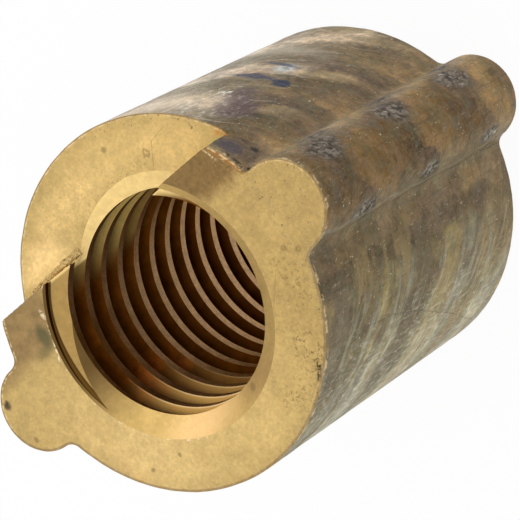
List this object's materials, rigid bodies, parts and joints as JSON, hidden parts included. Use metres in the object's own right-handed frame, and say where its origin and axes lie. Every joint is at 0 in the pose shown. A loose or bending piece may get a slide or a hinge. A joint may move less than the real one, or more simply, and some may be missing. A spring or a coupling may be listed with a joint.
{
  "type": "oval spindle nut",
  "caption": "Round nut bar with two opposite rounded ears, a coarse trapezoidal thread through it and a front face stepped down across a straight chord.",
  "frame": {"origin": "where the thread's axis meets the back face, which is the centre of the footprint", "axes": "+Z along the thread from the back face to the raised front face; X through the two ears; +Y towards the recessed side of the step"},
  "size_m": [0.0918, 0.0726, 0.081],
  "materials": {
    "bronze": "machined ends, cast and tarnished outside"
  },
  "bodies": {
    "root": {"oval_nut": "bronze"}
  },
  "joints": []
}
